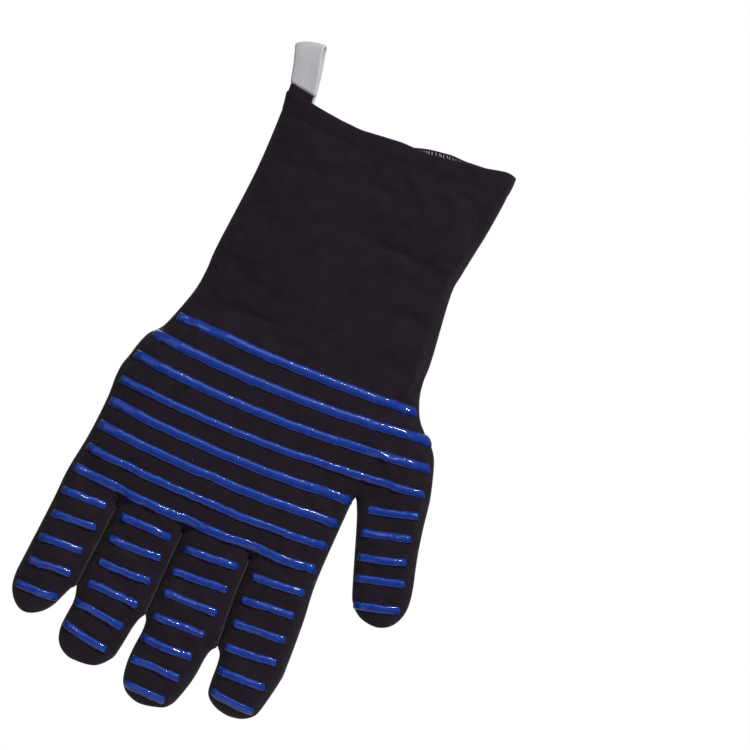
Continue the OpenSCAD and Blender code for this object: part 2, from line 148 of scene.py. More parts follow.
LEFT_SIDE = [
    (-68.7, 0), (-67.9, -9), (-68.6, -45), (-73.1, -92), (-73.6, -107), (-75.6, -121), (-82.7, -142),
    (-86.4, -148), (-90.6, -152.5), (-93.8, -160.5), (-95.5, -167), (-97.7, -174), (-98.4, -182),
    (-98.2, -194.5), (-100.1, -217), (-103.8, -240), (-105.1, -259.5), (-108.3, -294), (-109.1, -304),
    (-108.3, -311.6), (-105.6, -317), (-101.8, -321), (-97.2, -322.9), (-92.3, -322), (-87, -318.6),
    (-83.4, -314.4), (-81, -309.8), (-77.6, -301), (-76.2, -299.6)
]
RING_TIP = [
    (-74.1, -299.8), (-73, -306.2), (-74.4, -320), (-74, -326.4), (-72, -331.6), (-67.8, -335.5),
    (-61.3, -337.5), (-48.9, -336.2), (-41.4, -329.2), (-39.3, -323.2), (-37, -309.5), (-35.8, -303.4),
    (-34.4, -300.4)
]
MIDDLE_TIP = [
    (-32, -300.3), (-31.2, -302.2), (-31, -307), (-32.4, -319.6), (-32.4, -329.6), (-30.8, -337.8),
    (-27.3, -342.8), (-21.3, -345.8), (-15, -346.3), (-5.2, -344), (-1.6, -341.4), (1.4, -336.3),
    (5.5, -322.3), (7.4, -307), (8.8, -303), (10.1, -301.5)
]
INDEX_SIDE = [
    (12.3, -301.6), (13.7, -303.2), (14.7, -307), (15.2, -322), (16.8, -328), (22.1, -332.2), (28, -334),
    (32.7, -334.3), (38.9, -333.1), (43.8, -330), (46.8, -324.9), (51, -306), (51.5, -297), (50.7, -270),
    (49, -244.5), (50.6, -197.5)
]
THUMB_SIDE = [
    (52.9, -196), (57.4, -207), (69, -242), (72.6, -250), (77.6, -254.8), (83.5, -257), (90, -257.2),
    (95.6, -254.8), (99.5, -250.3), (101.6, -244.5), (101.9, -238), (100.6, -229.5), (96.4, -212.5),
    (93.3, -196), (90.9, -180), (86.6, -164), (83.6, -156.5), (79.4, -151), (74.4, -146.6), (69.3, -141),
    (66, -134.5), (63.6, -127), (62.6, -119), (62.4, -107), (58.8, -70), (60.2, -56), (65, -28),
    (67.4, -10), (67.5, 0)
]
CREASES = [[(-70.1, -247.6), (-71.6, -262), (-73.2, -280), (-75, -298.2)],
           [(-30.6, -247.6), (-31.6, -265), (-32.3, -280), (-33, -298.8)],
           [(9.6, -247.6), (9.5, -265), (9.8, -280), (11.1, -300.1)]]
CREASE_GAP = 0.32  # half the slit the outline leaves between two fingers
NESTLE = 0.14  # how far neighbours lap over each other across it
NESTLE_DEPTH = 3.0  # and how far one stands forward and the other back
THUMB_CROTCH = (51.6, -194.2)

# Bars across the palm: left end, lowest point, right end (x, z), and width
PALM_BARS = [((-78.4, -137.0), (-5, -139.8), (65.6, -137.6), 5.5),
             ((-87.6, -151.1), (-5, -155.1), (79.6, -149.3), 5.8),
             ((-93, -165.6), (0, -170), (84.2, -164), 5.4),
             ((-94.8, -181.4), (0, -184.7), (86, -178.4), 4.7),
             ((-95.9, -194.7), (-25, -199), (50, -196.6), 5.5),
             ((-96.9, -209), (-25, -213.2), (48, -211.4), 5.6),
             ((-98.3, -222.8), (-25, -227.4), (47.2, -225.4), 4.8),
             ((-99.5, -236.6), (-25, -241.2), (46.2, -239.5), 5.5)]
# Bars across the digits: left end and right end, each as x, z
DIGIT_BARS = {
    "little": [(-102, -250.8, -75.6, -250.3), (-102.4, -265, -76.6, -263.8), (-104, -280, -78.6, -278.8),
        (-105, -293.8, -80, -292.6), (-106.6, -308.6, -82, -308.5)],
    "ring": [(-66, -252.3, -35.6, -253.5), (-67, -266.2, -36.6, -266), (-66.8, -280.5, -37.2, -280.2),
        (-68.5, -293.3, -39, -295), (-71.2, -306.3, -41.8, -309.7), (-73, -319.6, -46, -324.5)],
    "middle": [(-26, -255.8, 5, -254.3), (-26.8, -269.8, 4, -268.5), (-27, -283, 3.8, -282.7),
        (-27.8, -297, 2, -296.5), (-30, -310.3, 0.3, -311), (-31, -324, -2, -324.5),
        (-29.3, -338.2, -4.8, -339)],
    "index": [(15, -256, 44.7, -254.3), (14, -270, 44, -268.5), (14.8, -284, 44.5, -282.5),
        (15.8, -298, 44.5, -296.3), (16.3, -311.8, 44.2, -311.5), (17.4, -324, 43.5, -326.2)],
    "thumb": [(60, -197.5, 87.2, -191), (61.5, -210.5, 88.5, -204), (65, -224, 91.2, -216.8),
        (68.3, -235.5, 95, -228.8), (73, -250, 98.2, -243.3)],
}
BAR_WIDTH = 4.7  # of a digit's bar
BAR_H = 1.35
# Fine hairs of silicone beside the bars: where each starts (x, z), its direction in degrees and its length
PALM_HAIRS = [(-50.3, -209.6, 92, 4.2), (-48.2, -209.8, 80, 2.2), (-40.4, -210.4, 100, 2.8),
              (18, -182.6, 75, 2.4)]
THUMB_HAIRS = [(86.2, -245.2, 100, 5.5)]

KNIT_T = 1.4
LINING_GAP = 0.4
LINING_T = 1.1
WALL_T = KNIT_T + LINING_GAP + LINING_T

# How far the mouth's edge stands above or below its own plane: x and lift, on the palm side and the back
MOUTH_FRONT = [
    (-67, 2.0), (-60, 0.8), (-50, -1.3), (-43, -2.3), (-34, -3.4), (-22, -4.2), (-10, -3.1), (2, -2.1),
    (12, -2.5), (18, -2.4), (30, -0.9), (38, 0.6), (48, 1.5), (60, 4.2), (64, 4.9), (67.5, 4.6)
]
MOUTH_BACK = [
    (-67, 2.0), (-60, 0.6), (-45, -3.2), (-22, -4.9), (2, -2.9), (12, 0.5), (18, 1.9), (30, 3.4),
    (38, 2.9), (52, 3.7), (62, 5.4), (67.5, 4.6)
]
MOUTH_REACH = 34  # how far down the cuff the mouth's lift fades out


# ---- curves ----


def smooth(points, step):
    """Points about step apart along a smooth curve through the given ones."""
    p = np.array(points, float)
    p = np.vstack([2 * p[0] - p[1], p, 2 * p[-1] - p[-2]])
    fine = []
    for i in range(1, len(p) - 2):
        for t in np.linspace(0, 1, 12, endpoint=False):
            fine.append(0.5 * (2 * p[i] + (p[i + 1] - p[i - 1]) * t
                               + (2 * p[i - 1] - 5 * p[i] + 4 * p[i + 1] - p[i + 2]) * t * t
                               + (3 * p[i] - p[i - 1] - 3 * p[i + 1] + p[i + 2]) * t ** 3))
    fine.append(p[-2])
    return resample(np.array(fine), step)


def resample(line, step):
    """The same polyline with points evenly about step apart, ends kept."""
    length = np.r_[0, np.cumsum(np.hypot(*np.diff(line, axis=0).T))]
    count = max(2, int(round(length[-1] / step)) + 1)
    at = np.linspace(0, length[-1], count)
    return np.column_stack([np.interp(at, length, line[:, k]) for k in range(2)])


def outline(step):
    """The side outline from the mouth's left corner round the digits to its right corner."""
    parts = [smooth(LEFT_SIDE, step)]
    for crease, tip in zip(CREASES, (RING_TIP, MIDDLE_TIP, INDEX_SIDE)):
        line = smooth(crease, step)
        up = line[::-1] - np.array((CREASE_GAP, 0))
        down = line + np.array((CREASE_GAP, 0))
        crotch = line[0] + np.array((0, CREASE_GAP))
        parts += [up, crotch[None], down, smooth(tip, step)]
    parts += [np.array(THUMB_CROTCH)[None], smooth(THUMB_SIDE, step)]
    return np.vstack(parts)


BATCH = 2000  # points measured at a time


def segment_distance(points, line):
    """Distance from each point to a polyline."""
    a, b = line[:-1], line[1:]
    d = b - a
    best = np.full(len(points), 1e9)
    square = np.maximum((d ** 2).sum(1), 1e-12)
    for k in range(0, len(points), BATCH):
        q = points[k:k + BATCH, None, :] - a[None]
        t = np.clip((q * d[None]).sum(2) / square[None], 0, 1)
        best[k:k + BATCH] = np.sqrt(((q - t[..., None] * d[None]) ** 2).sum(2)).min(1)
    return best


SIDE = outline(0.9)


def ease(t):
    """0 up to t = 0 and 1 from t = 1 on, with a smooth step between."""
    t = np.clip(t, 0, 1)
    return t * t * (3 - 2 * t)


# ---- thickness, folds and mouth ----


def thumb_share(p):
    """0 on the hand, 1 on the thumb."""
    return ease((THUMB.along(p) + 26) / 40) * ease((p[:, 0] - 44) / 14)


def half_thickness(p):
    """Half the glove's thickness where it is fullest, and how far in from the edge it gets there."""
    z = p[:, 1]
    half = np.interp(z, [-346, -325, -300, ROOT_Z, -205, -150, WRIST_Z, -70, 0],
                     [8.6, 9.6, 10.6, 11.6, 14.2, 15.2, 14.8, 16.2, 18.2])
    reach = np.interp(z, [-346, -325, ROOT_Z, -215, -150, WRIST_Z, 0], [15.5, 16.5, 17.5, 30, 42, 44, 46])
    t = thumb_share(p)
    thumb_half = np.interp(THUMB.along(p), [0, 40, 56, 70], [12, 10.8, 9.8, 8.8])
    return half + (thumb_half - half) * t, reach + (16.5 - reach) * t


SQUARENESS = 2.35  # of the digits' and palm's section: 2 is an ellipse, and more is fuller


def swell(d, reach):
    """The share of the full thickness at a distance in from the edge."""
    u = 1 - np.clip(d / reach, 0, 1)
    return (1 - u ** SQUARENESS) ** (1 / SQUARENESS)


def wave(p, side, scale, seed):
    """Smooth noise over the flat glove, with waves of about the given width and height."""
    return np.array([noise.noise(Vector((x / scale[0] + seed, z / scale[1] - seed, side * 3.1 + seed)))
                     for x, z in p])


def folds(p, side):
    """Soft standing folds of the empty cloth, in millimetres."""
    z = p[:, 1]
    cuff = ease((z + 150) / 30) * (1 - 0.6 * ease((z + 14) / 14))
    palm = ease((-z - 130) / 30)
    long_folds = wave(p, side, (34, 95), 4.2)
    cross = wave(p, side, (70, 26), 9.7)
    dents = wave(p, side, (17, 21), 2.3)
    wrist = np.exp(-((z - WRIST_Z + 8) / 16) ** 2)
    return (cuff * (2.2 * long_folds + 0.9 * cross + 0.5 * dents) - 0.9 * wrist * (0.6 + cross)
            + palm * (1.0 * long_folds + 0.7 * cross + 0.45 * dents))


def mouth_lift(x, side):
    """How far the mouth's edge stands above or below its own plane."""
    return np.interp(x, *zip(*(MOUTH_FRONT if side < 0 else MOUTH_BACK)))


def crease_xy(k):
    """A crease as heights, lowest first, and the x at each."""
    line = np.array(CREASES[k])[::-1]
    return line[:, 1], line[:, 0]


def beside_crease(p):
    """How near each point is to a crease between fingers (0 to 1), and on which side: -1 left, 1 right."""
    near = np.zeros(len(p))
    side = np.zeros(len(p))
    for k, crease in enumerate(CREASES):
        line = np.array(crease)
        away = p[:, 0] - np.interp(p[:, 1], *crease_xy(k))
        depth = line[0][1] - p[:, 1]
        reach = 1.3 + 4.2 * ease(depth / 9)
        above_tip = ease((p[:, 1] - line[-1][1] + 10) / 10)
        share = (depth > -0.01) * (0.6 + 0.4 * ease(depth / 2)) * above_tip * np.exp(-(away / reach) ** 2)
        side = np.where(share > near, np.sign(away), side)
        near = np.maximum(near, share)
    return near, side


def lay_surface(p, d, side):
    """Points of the plane as points of the glove's outer face on one side, in millimetres."""
    half, reach = half_thickness(p)
    y = half * swell(d, reach) + folds(p, side) * ease(d / 9)
    # Neighbouring fingers nestle: one's widest line is nearer the front, the next one's nearer the back
    share, which = beside_crease(p)
    x = p[:, 0] - which * share ** 0.4 * (CREASE_GAP + NESTLE)
    z = p[:, 1] + mouth_lift(p[:, 0], side) * ease((p[:, 1] + MOUTH_REACH) / MOUTH_REACH)
    return np.column_stack([x, side * np.maximum(y, 0) + which * share * NESTLE_DEPTH, z])


# ---- the whole outer face, as one mesh ----


def cut_lines(edge):
    """The pair of outline points that each piece is parted from the rest between."""

    def nearest(point, low=0, high=len(edge)):
        return low + int(np.argmin(np.hypot(*(edge[low:high] - np.array(point)).T)))

    crotches = [nearest(c[0] + np.array((0, CREASE_GAP))) for c in np.array(CREASES)]
    thumb_crotch = nearest(THUMB_CROTCH)
    left_root = nearest((-102.4, ROOT_Z - 1), 0, crotches[0])
    right_root = nearest((49.2, ROOT_Z - 1), crotches[2], thumb_crotch)
    lines = {"cuff": (nearest((-84, PALM_SPLIT), 0, left_root), nearest((75, PALM_SPLIT), thumb_crotch))}
    marks = [left_root, *crotches, right_root]
    for digit, low, high in zip(FINGERS, marks[:-1], marks[1:]):
        lines[digit.name + "_base"] = (low, high)
        ends = [nearest(digit.point(digit.split, t), low, high) for t in (17, -17)]
        lines[digit.name + "_tip"] = (min(ends), max(ends))
    far = nearest(THUMB.point(1.5, 21.5), thumb_crotch + 1)
    lines["thumb_base"] = (thumb_crotch, far)
    ends = [nearest(THUMB.point(THUMB.split, t), thumb_crotch, far) for t in (-16, 19)]
    lines["thumb_tip"] = (min(ends), max(ends))
    return lines


EDGE_ROWS = (0.12, 0.5, 1.2, 2.3, 3.9)  # depths of the rows of points that carry the edge's roundness
GRID_MARGIN = 4.9  # the even grid starts this far in from the edge


def inner_points(edge, cuts, grid):
    """Points to fill the outline with, clear of the lines that the pieces are parted along."""
    tangent = np.gradient(edge, axis=0)
    normal = np.column_stack([-tangent[:, 1], tangent[:, 0]])
    normal /= np.maximum(np.hypot(*normal.T), 1e-9)[:, None]
    inner = []
    for depth in EDGE_ROWS:
        row = edge + normal * depth
        inner.append(row[segment_distance(row, SIDE) > depth * 0.86])
    xs = np.arange(-112, 106, grid)
    zs = np.arange(-350, 2, grid * 0.866)
    hexes = np.array([(x + (k % 2) * grid / 2, z) for k, z in enumerate(zs) for x in xs])
    inner.append(hexes[segment_distance(hexes, SIDE) > GRID_MARGIN])
    inner = np.vstack(inner)
    inner = inner[inner[:, 1] < -0.6]
    room = np.minimum(grid * 0.45, 0.2 + segment_distance(inner, SIDE) * 0.5)
    clear = np.ones(len(inner), bool)
    for line in cuts:
        clear &= segment_distance(inner, line) > room
    return inner[clear]


def flat_mesh(step, grid):
    """Triangles that fill the outline, each point's distance from the side and each triangle's region."""
    edge = outline(step)
    points = [edge]
    segments = [(i, i + 1) for i in range(len(edge) - 1)]

    def join(a, b, spacing):
        """Adds a straight row of points between two outline points."""
        row = resample(np.array([edge[a], edge[b]]), spacing)[1:-1]
        total = sum(len(p) for p in points)
        chain = [a, *range(total, total + len(row)), b]
        segments.extend(zip(chain[:-1], chain[1:]))
        points.append(row)
        return np.vstack([edge[a], row, edge[b]])

    join(len(edge) - 1, 0, 2.0)
    lines = cut_lines(edge)
    cuts = [join(a, b, grid * 0.9) for a, b in lines.values()]
    points.append(inner_points(edge, cuts, grid))
    out = delaunay_2d_cdt([Vector(p) for p in np.vstack(points)], segments, [], 1, 1e-5)
    flat = np.array([tuple(v) for v in out[0]])
    faces = np.array(out[2], int)
    faces = faces[inside(flat[faces].mean(1), np.vstack([edge, edge[:1]]))]
    used = np.unique(faces)
    index = np.full(len(flat), -1)
    index[used] = np.arange(len(used))
    flat, faces = flat[used], index[faces]
    distance = segment_distance(flat, SIDE)
    on_edge = np.array([np.hypot(*(edge - p).T).min() < 1e-4 for p in flat])
    distance[on_edge] = 0
    return flat, faces, distance, regions(flat[faces].mean(1), edge, lines)


def inside(points, loop):
    """Which points the closed loop holds."""
    hit = np.zeros(len(points), bool)
    for (x0, z0), (x1, z1) in zip(loop[:-1], loop[1:]):
        if z0 == z1:
            continue
        spans = (z0 > points[:, 1]) != (z1 > points[:, 1])
        cross = x0 + (points[:, 1] - z0) * (x1 - x0) / (z1 - z0)
        hit ^= spans & (points[:, 0] < cross)
    return hit


def regions(centres, edge, lines):
    """The name of the piece that each point belongs to."""
    names = np.array(["palm"] * len(centres), dtype=object)
    a, b = lines["cuff"]
    cuff = np.vstack([edge[:a + 1], edge[b:], edge[:1]])
    names[inside(centres, cuff)] = "cuff"
    for digit in DIGITS:
        for part in ("_base", "_tip"):
            a, b = lines[digit.name + part]
            loop = np.vstack([edge[a:b + 1], edge[a:a + 1]])
            names[inside(centres, loop)] = digit.name + part
    return names


def across_and_along(p):
    """Cloth coordinates: the ribs of the knit run along each digit."""
    u = p[:, 0].copy()
    v = p[:, 1].copy()
    for k, digit in enumerate(FINGERS):
        mine = p[:, 1] < ROOT_Z
        if k > 0:
            mine &= p[:, 0] > np.interp(p[:, 1], *crease_xy(k - 1))
        if k < 3:
            mine &= p[:, 0] <= np.interp(p[:, 1], *crease_xy(k))
        lean = digit.dir[0] / digit.dir[1]
        u[mine] = p[mine, 0] + lean * (ROOT_Z - p[mine, 1])
    s = THUMB.along(p)
    t = THUMB.side(p)
    turn = ease((s + 12) / 24) * ease((p[:, 0] - 48) / 8)
    u += turn * (THUMB.root[0] + t - u)
    v += turn * (THUMB.root[1] - s - v)
    return u, v


class Cloth:
    """The glove's whole outer face: points, triangles with a region each, normals and cloth coordinates."""

    def __init__(self, step, grid):
        flat, faces, d, names = flat_mesh(step, grid)
        n = len(flat)
        area = np.cross(flat[faces[:, 1]] - flat[faces[:, 0]], flat[faces[:, 2]] - flat[faces[:, 0]])
        faces = np.where((area > 0)[:, None], faces, faces[:, ::-1])
        front = lay_surface(flat, d, -1)
        back = lay_surface(flat, d, 1)
        shared = d <= 0
        back_id = np.where(shared, np.arange(n), n + np.cumsum(~shared) - 1)
        self.points = np.vstack([front, back[~shared]])
        self.faces = np.vstack([faces, back_id[faces][:, ::-1]])
        self.names = np.concatenate([names, names])
        self.sides = np.concatenate([np.full(len(faces), -1), np.full(len(faces), 1)])
        self.flat = np.vstack([flat, flat[~shared]])
        self.pinned = np.concatenate([shared, np.zeros((~shared).sum(), bool)])
        self.u, self.v = across_and_along(self.flat)
        self.refresh()

    def refresh(self):
        p, f = self.points, self.faces
        face_normal = np.cross(p[f[:, 1]] - p[f[:, 0]], p[f[:, 2]] - p[f[:, 0]])
        total = np.zeros_like(p)
        for k in range(3):
            np.add.at(total, f[:, k], face_normal)
        self.normals = total / np.maximum(np.linalg.norm(total, axis=1), 1e-9)[:, None]


def add_object(name, data):
    obj = bpy.data.objects.new(name, data)
    bpy.context.scene.collection.objects.link(obj)
    return obj


def mesh_object(name, points, faces):
    """A smooth-shaded object from points in millimetres."""
    mesh = bpy.data.meshes.new(name)
    corners = [tuple(int(i) for i in f) for f in faces]
    mesh.from_pydata([tuple(p) for p in np.asarray(points) * MM], [], corners)
    mesh.validate()
    mesh.update()
    mesh.polygons.foreach_set("use_smooth", [True] * len(mesh.polygons))
    return add_object(name, mesh)


def loop_vertices(obj):
    """The vertex at each corner of each face."""
    vertex = np.zeros(len(obj.data.loops), int)
    obj.data.loops.foreach_get("vertex_index", vertex)
    return vertex


def set_cloth_uv(obj, u, v):
    """A map that carries the cloth coordinates, in centimetres, however the piece bends."""
    layer = obj.data.uv_layers.new(name="cloth")
    pairs = np.column_stack([u, v])[loop_vertices(obj)] * 0.1
    layer.data.foreach_set("uv", pairs.astype(np.float32).ravel())


def shell_piece(name, region, outer, inner):
    """A closed wall over one region of the cloth, between two depths below its face."""
    chosen = CLOTH.faces[CLOTH.names == region]
    used = np.unique(chosen)
    index = np.full(len(CLOTH.points), -1)
    index[used] = np.arange(len(used))
    faces = index[chosen]
    n = len(used)
    normal = CLOTH.normals[used]
    top = CLOTH.points[used] - normal * outer
    bottom = CLOTH.points[used] - normal * inner
    edges = {(a, b) for f in faces for a, b in ((f[0], f[1]), (f[1], f[2]), (f[2], f[0]))}
    rim = sorted((a, b) for a, b in edges if (b, a) not in edges)
    everything = [tuple(f) for f in faces] + [tuple(f + n)[::-1] for f in faces]
    everything += [(b, a, a + n, b + n) for a, b in rim]
    obj = mesh_object(name, np.vstack([top, bottom]), everything)
    set_cloth_uv(obj, np.tile(CLOTH.u[used], 2), np.tile(CLOTH.v[used], 2))
    # Faces shade as the whole glove does, so that the joins between pieces don't show
    both = np.vstack([normal, -normal])
    shade = both[loop_vertices(obj)]
    for poly in obj.data.polygons[2 * len(faces):]:
        shade[list(poly.loop_indices)] = poly.normal
    obj.data.normals_split_custom_set(shade.tolist())
    return obj


SETTLE_FRAMES = 14
SETTLING = {"quality": 6, "mass": 0.12, "tension_stiffness": 12, "compression_stiffness": 12,
            "shear_stiffness": 4, "bending_stiffness": 0.6, "shrink_min": -0.035, "pin_stiffness": 2,
            "vertex_group_mass": "hold", "use_pressure": True, "uniform_pressure_force": 0.25}


def rumple(cloth, most):
    """Cloth physics on the whole face: the sheet is cut a little large and settles into soft folds.

    The outline and the mouth are held, and no point moves further than most.
    """
    obj = mesh_object("settling_cloth", cloth.points, cloth.faces)
    hold = obj.vertex_groups.new(name="hold")
    depth = segment_distance(cloth.flat, SIDE)
    grip = 1 - ease((depth - 0.6) / 5)
    grip = np.maximum(grip, ease((cloth.flat[:, 1] + 18) / 12))
    for i, weight in enumerate(grip):
        if weight > 0.01:
            hold.add([i], float(min(weight, 1)), "REPLACE")
    sim = obj.modifiers.new("cloth", "CLOTH")
    for key, value in SETTLING.items():
        setattr(sim.settings, key, value)
    sim.settings.effector_weights.gravity = 0
    sim.collision_settings.use_collision = False
    sim.point_cache.frame_start = 1
    sim.point_cache.frame_end = SETTLE_FRAMES
    scene = bpy.context.scene
    for frame_number in range(1, SETTLE_FRAMES + 1):
        scene.frame_set(frame_number)
    settled = obj.evaluated_get(bpy.context.evaluated_depsgraph_get()).data
    moved = np.array([v.co for v in settled.vertices]) / MM - cloth.points
    size = np.linalg.norm(moved, axis=1)
    moved *= (np.tanh(size / most) * most / np.maximum(size, 1e-9))[:, None]
    moved[cloth.pinned] = 0
    cloth.points = cloth.points + moved * (1 - np.minimum(grip, 1))[:, None]
    cloth.refresh()
    scene.frame_set(1)
    bpy.data.objects.remove(obj)


# Spacing of the mesh's points along the outline and inside it
EDGE_STEP, GRID = ((1.5, 2.2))
CLOTH = Cloth(EDGE_STEP, GRID)
rumple(CLOTH, 2.2)


class Side:
    """Looks up the finished surface above a point of the flat glove, on the palm (-1) or back (1)."""

    def __init__(self, side):
        self.faces = CLOTH.faces[CLOTH.sides == side]
        verts = [(x, 0.0, z) for x, z in CLOTH.flat]
        self.tree = BVHTree.FromPolygons(verts, self.faces.tolist())

    def at(self, x, z):
        """The surface point there and its normal."""
        spot, _, face, _ = self.tree.find_nearest((float(x), 0.0, float(z)))
        a, b, c = self.faces[face]
        pa, pb, pc = CLOTH.flat[[a, b, c]]
        det = (pb[0] - pa[0]) * (pc[1] - pa[1]) - (pc[0] - pa[0]) * (pb[1] - pa[1])
        wb = ((spot.x - pa[0]) * (pc[1] - pa[1]) - (pc[0] - pa[0]) * (spot.z - pa[1])) / det
        wc = ((pb[0] - pa[0]) * (spot.z - pa[1]) - (spot.x - pa[0]) * (pb[1] - pa[1])) / det
        w = np.array((1 - wb - wc, wb, wc))
        normal = w @ CLOTH.normals[[a, b, c]]
        return w @ CLOTH.points[[a, b, c]], normal / np.linalg.norm(normal)


FACE = {-1: Side(-1), 1: Side(1)}


class Builder:
    """Collects closed bits of mesh into one piece."""

    def __init__(self):
        self.verts = []
        self.faces = []
        self.uv = []

    def sweep(self, rings, closed=False):
        """Joins rings of (point, cloth coordinates) in order; the ends are capped, or joined too."""
        base = len(self.verts)
        m, k = len(rings[0]), len(rings)
        for ring in rings:
            for point, uv in ring:
                self.verts.append(tuple(point))
                self.uv.append(uv)
        for i in range(k if closed else k - 1):
            for j in range(m):
                a, b = base + i * m + j, base + i * m + (j + 1) % m
                n = ((i + 1) % k) * m
                self.faces.append((a, b, base + n + (j + 1) % m, base + n + j))
        if not closed:
            self.faces.append(tuple(base + j for j in range(m))[::-1])
            self.faces.append(tuple(base + (k - 1) * m + j for j in range(m)))

    def thread(self, path, radius, sides):
        """A round thread along a 3-D path, thinner at its ends."""
        path = np.asarray(path, float)
        rings = []
        turns = [2 * pi * j / sides for j in range(sides)]
        for i, p in enumerate(path):
            t = path[min(i + 1, len(path) - 1)] - path[max(i - 1, 0)]
            t = t / np.linalg.norm(t)
            n = np.cross(t, (0.31, 0.9, 0.17))
            n /= np.linalg.norm(n)
            b = np.cross(t, n)
            r = radius * (0.5 if i in (0, len(path) - 1) else 1)
            rings.append([(p + r * (n * cos(a) + b * sin(a)), (j, i)) for j, a in enumerate(turns)])
        self.sweep(rings)

    def make(self, name):
        obj = mesh_object(name, self.verts, self.faces)
        set_cloth_uv(obj, *zip(*self.uv))
        return obj


def quadratic(a, b, c):
    """Points about 1.2 mm apart on the curve through three points."""
    a, b, c = (np.array(p, float) for p in (a, b, c))
    m = (b[0] - a[0]) / (c[0] - a[0])
    mid = (b - a * (1 - m) ** 2 - c * m ** 2) / (2 * m * (1 - m))
    t = np.linspace(0, 1, 60)[:, None]
    return resample(a * (1 - t) ** 2 + 2 * mid * t * (1 - t) + c * t ** 2, 1.2)


# Section of a bar: across in half widths, and up in bar heights
DOME = [(-0.97, -0.5), (-1.0, -0.05), (-0.95, 0.34), (-0.8, 0.66), (-0.55, 0.88), (-0.2, 0.99), (0.2, 1.0),
        (0.55, 0.9), (0.8, 0.7), (0.95, 0.36), (1.0, -0.05), (0.97, -0.5)]


def bead(build, side, path, seed, width, slant, blunt=0.36):
    """A poured bar of silicone: domed, its edges wavering a little, its ends blunt and drawn in above."""
    length = np.r_[0, np.cumsum(np.hypot(*np.diff(path, axis=0).T))]
    total = length[-1]
    near_end = np.array([0.06, 0.25, 0.6, 1.2, 2.0])
    stations = np.unique(np.concatenate([near_end, np.arange(3, total - 3, 1.15), total - near_end]))
    # How the width and the height close at an end: over what length, and how bluntly
    closings = ((blunt * width, 0.6 + blunt * 7), (0.55 * width, 2.0))

    def point(s):
        return np.array([np.interp(s, length, path[:, k]) for k in (0, 1)])

    def waver(rate, k):
        return noise.noise(Vector((s * rate, seed * 3.7 + k * 11.3, side * 2.0)))

    rings = []
    for s in stations:
        run = point(s + 0.6) - point(s - 0.6)
        run /= np.hypot(*run)
        cross = np.array((-run[1], run[0]))
        to_end = min(s, total - s)
        full, tall = (max(1 - (max(0.0, end - to_end) / end) ** power, 0.02) ** (1 / power)
                      for end, power in closings)
        lean = slant * width / 2 * float(ease(1 - to_end / 5)) * (1 if s > total / 2 else -0.4)
        centre = point(s) + cross * (0.35 * waver(0.09, 0) + 0.12 * waver(0.5, 1))
        high = width / 2 + 0.32 * waver(0.33, 2) + 0.14 * waver(1.1, 3)
        low = width / 2 + 0.32 * waver(0.33, 4) + 0.14 * waver(1.1, 5)
        top = BAR_H * (1 + 0.16 * waver(0.3, 6) + 0.08 * waver(1.3, 7))
        ring = []
        for a, h in DOME:
            half = (high if a > 0 else low) * full
            spot, normal = FACE[side].at(*(centre + cross * a * half - run * a * lean))
            ring.append((spot + normal * (h * top * (tall if h > 0 else 1)), (a * 2.6, s + 40 * seed)))
        rings.append(ring[::side])  # so that faces look outwards on either side
    build.sweep(rings)


def whiskers(build, hairs):
    """Fine hairs of silicone pulled off a bar's edge."""
    for x, z, angle, size in hairs:
        turn = np.array((cos(radians(angle)), sin(radians(angle))))
        path = []
        for t in np.linspace(0, 1, 7):
            p = np.array((x, z)) + turn * size * t + np.array((turn[1], -turn[0])) * 0.9 * sin(3 * t)
            spot, normal = FACE[-1].at(*p)
            path.append(spot + normal * (0.3 + 0.4 * sin(pi * t)))
        build.thread(path, 0.16, 5)


def bar_path(left, right):
    """A digit's bar, sagging a little between its ends."""
    sag = RNG.uniform(-0.5, 0.3)
    return quadratic(left, (left + right) / 2 + np.array((0, sag)), right)


# ---- knit, lining and bars ----


def bending_zone(region):
    """The two bodies that a region bends between, and the points where the bend starts and ends."""
    if region == "cuff":
        return "cuff", "hand", (0, WRIST_Z + WRIST_REACH), (0, WRIST_Z - WRIST_REACH)
    name, part = region.rsplit("_", 1)
    digit = next(d for d in DIGITS if d.name == name)
    if part == "tip":
        start, end = digit.bend_at - BEND_REACH, digit.bend_at + BEND_REACH
        return name + "_base", region, digit.point(start), digit.point(end)
    start, end = digit.zone
    if digit is THUMB:
        return "hand", region, digit.point(start), digit.point(end)
    return "hand", region, (0, ROOT_Z - start), (0, ROOT_Z - end)


def follow(obj, region):
    """Ties a piece over the palm to the hand; a piece over any other region is only baked in place and tied
    to no body.
    """
    if region == "palm":
        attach(obj, "hand")
        return
    parent, child, *ends = bending_zone(region)
    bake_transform(obj)


def stand_for(obj, cad, slot):
    """Hides the CAD node that a piece takes the place of, and names the piece's material."""
    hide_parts(cad)
    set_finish(obj, slot)


def rigid_piece(build, name, body, cad, slot):
    """A piece that rides on one body."""
    obj = build.make(name)
    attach(obj, body)
    stand_for(obj, cad, slot)


REGIONS = ["cuff", "palm"] + [d.name + part for d in DIGITS for part in ("_base", "_tip")]
for region in REGIONS:
    cad = "hand" if region == "palm" else region
    knit = shell_piece(region + "_knit", region, 0.0, KNIT_T)
    follow(knit, region)
    stand_for(knit, cad + "_shell", "black_knit")
    lining = shell_piece(region + "_lining_cloth", region, KNIT_T + LINING_GAP, WALL_T)
    follow(lining, region)
    stand_for(lining, cad + "_lining", "cotton_lining")

for side, name, cad in ((-1, "palm_bars_front", "hand_bars_palm"), (1, "palm_bars_behind", "hand_bars_back")):
    build = Builder()
    for k, (left, lowest, right, width) in enumerate(PALM_BARS):
        bead(build, side, quadratic(left, lowest, right), k + 1, width, 0.4)
    if side < 0:
        whiskers(build, PALM_HAIRS)
    rigid_piece(build, name, "hand", cad, "blue_silicone")

